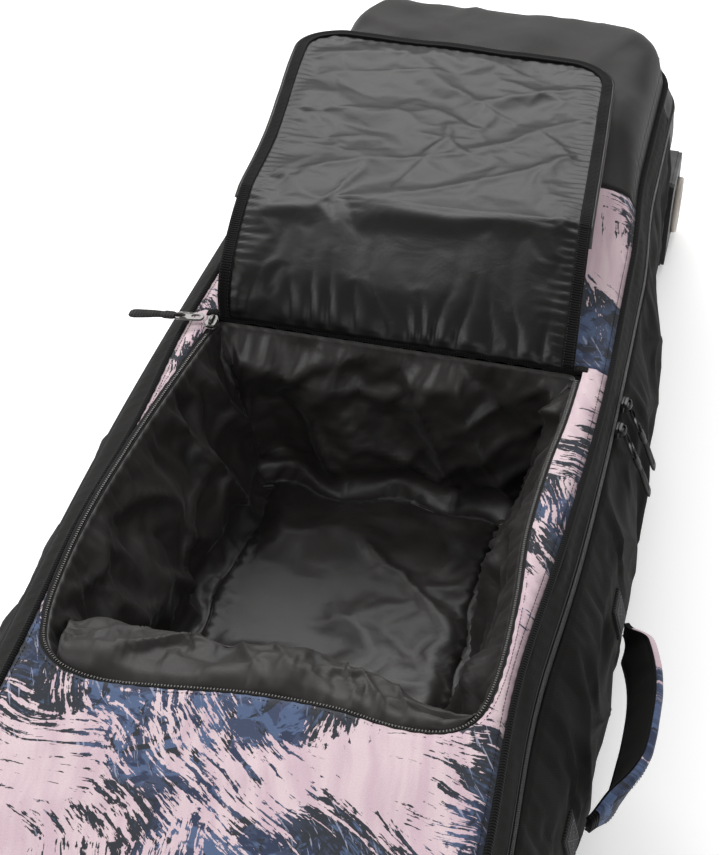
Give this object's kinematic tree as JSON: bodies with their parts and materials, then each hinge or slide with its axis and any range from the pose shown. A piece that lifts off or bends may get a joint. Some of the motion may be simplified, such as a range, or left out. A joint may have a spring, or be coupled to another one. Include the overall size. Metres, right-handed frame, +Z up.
{
  "type": "wheeled snowboard bag",
  "caption": "Long padded board bag on wheels with a full-length zipped lid, a zipped boot compartment and flap, and carry handles.",
  "frame": {"origin": "middle of the flat underside of the back panel, which lies on the floor", "axes": "+Z up out of the front panel, +Y towards the wheeled end, +X to the side with the main zip and the side handle"},
  "size_m": [0.5138, 1.6629, 0.2678],
  "materials": {
    "print": "printed coated weave, matt",
    "wrap": "smooth coated fabric, matt",
    "gusset": "fine polyester weave, matt",
    "liner": "thin coated nylon, sheen",
    "lining": "thin coated nylon, sheen",
    "binding": "ribbed tape, matt",
    "zip": "moulded coil on woven tape",
    "metal": "satin nickel",
    "gloss": "gloss black",
    "plastic": "moulded, fine grain",
    "hub": "moulded, satin",
    "tyre": "moulded rubber",
    "webbing": "woven webbing",
    "padding": "sheet plastic"
  },
  "bodies": {
    "bag_base": {"back_panel": "gusset", "kick_plate": "plastic", "back_stiffener": "padding", "gusset_right": "gusset", "gusset_left": "gusset", "wheel_end_panel": "wrap", "top_end_panel": "gusset", "main_zip_lower": "zip", "board_strap_1": "webbing", "board_strap_2": "webbing", "strap_buckle_1": "gloss", "strap_buckle_2": "gloss", "wheel_housing_right": "plastic", "wheel_housing_left": "plastic", "wheel_guard_right": "plastic", "wheel_guard_left": "plastic", "axle_right": "metal", "axle_left": "metal", "side_handle_anchor_1": "webbing", "side_handle_anchor_2": "webbing", "end_handle_anchor_1": "webbing", "end_handle_anchor_2": "webbing"},
    "lid": {"front_panel": "print", "front_wrap": "wrap", "front_piping": "binding", "lid_band_right": "gusset", "lid_band_left": "gusset", "lid_band_wheel_end": "wrap", "lid_band_top_end": "gusset", "lid_hinge_tape": "binding", "main_zip_upper": "zip", "boot_zip_fixed": "zip", "flap_hinge_tape": "binding", "boot_tub_walls": "liner", "boot_tub_floor": "liner", "liner_fold": "liner"},
    "flap_root": {"flap_root_shell": "print", "flap_root_lining": "lining", "flap_root_binding": "binding"},
    "flap_main": {"flap_shell": "print", "flap_lining": "lining", "flap_binding": "binding", "flap_zip": "zip"},
    "boot_slider": {"boot_slider": "metal"},
    "boot_pull": {"boot_pull_link": "metal", "boot_pull_tab": "webbing"},
    "main_slider_1": {"main_slider_1": "gloss"},
    "main_pull_1": {"main_pull_1_link": "gloss", "main_pull_1_tab": "webbing"},
    "main_slider_2": {"main_slider_2": "gloss"},
    "main_pull_2": {"main_pull_2_link": "gloss", "main_pull_2_tab": "webbing"},
    "wheel_right": {"tyre_right": "tyre", "wheel_hub_right": "hub"},
    "wheel_left": {"tyre_left": "tyre", "wheel_hub_left": "hub"},
    "side_handle": {"side_handle_grip": "print"},
    "end_handle": {"end_handle_grip": "webbing"}
  },
  "joints": [
    {"name": "lid_hinge", "type": "hinge", "parent": "bag_base", "child": "lid", "pos_m": [-0.205, 0, 0.176], "axis": [0, -1, 0], "range_deg": [0, 100]},
    {"name": "flap_hinge", "type": "hinge", "parent": "lid", "child": "flap_root", "pos_m": [0, 0.224, 0.212], "axis": [1, 0, 0], "range_deg": [0, 150]},
    {"name": "flap_fold", "type": "hinge", "parent": "flap_root", "child": "flap_main", "pos_m": [0, 0.31809, 0.26502], "axis": [1, 0, 0], "range_deg": [0, 30.1]},
    {"name": "boot_zip", "type": "slide", "parent": "lid", "child": "boot_slider", "axis": [-0.0328, -0.9995, 0], "range_m": [0, 0.32]},
    {"name": "boot_pull_swing", "type": "hinge", "parent": "boot_slider", "child": "boot_pull", "pos_m": [-0.167, 0.214, 0.2134], "axis": [0, 1, 0], "range_deg": [0, 150]},
    {"name": "main_zip_1", "type": "slide", "parent": "bag_base", "child": "main_slider_1", "axis": [0, 1, 0], "range_m": [0, 0.44]},
    {"name": "main_pull_1_swing", "type": "hinge", "parent": "main_slider_1", "child": "main_pull_1", "pos_m": [0.2058, 0.231, 0.174], "axis": [0, -1, 0], "range_deg": [0, 110]},
    {"name": "main_zip_2", "type": "slide", "parent": "bag_base", "child": "main_slider_2", "axis": [0, -1, 0], "range_m": [0, 0.86]},
    {"name": "main_pull_2_swing", "type": "hinge", "parent": "main_slider_2", "child": "main_pull_2", "pos_m": [0.206, 0.196, 0.174], "axis": [0, -1, 0], "range_deg": [0, 110]},
    {"name": "wheel_right_spin", "type": "hinge", "parent": "bag_base", "child": "wheel_right", "pos_m": [0.17, 0.768, 0.038], "axis": [1, 0, 0], "continuous": true},
    {"name": "wheel_left_spin", "type": "hinge", "parent": "bag_base", "child": "wheel_left", "pos_m": [-0.17, 0.768, 0.038], "axis": [1, 0, 0], "continuous": true},
    {"name": "side_handle_swing", "type": "hinge", "parent": "bag_base", "child": "side_handle", "pos_m": [0.2377, -0.058, 0.1], "axis": [0, -1, 0], "range_deg": [-50, 60]},
    {"name": "end_handle_swing", "type": "hinge", "parent": "bag_base", "child": "end_handle", "pos_m": [0, -0.8209, 0.095], "axis": [-1, 0, 0], "range_deg": [-50, 60]}
  ],
  "couplings": [
    {"joint": "flap_fold", "follows": "flap_hinge", "ratio": 0.2}
  ]
}
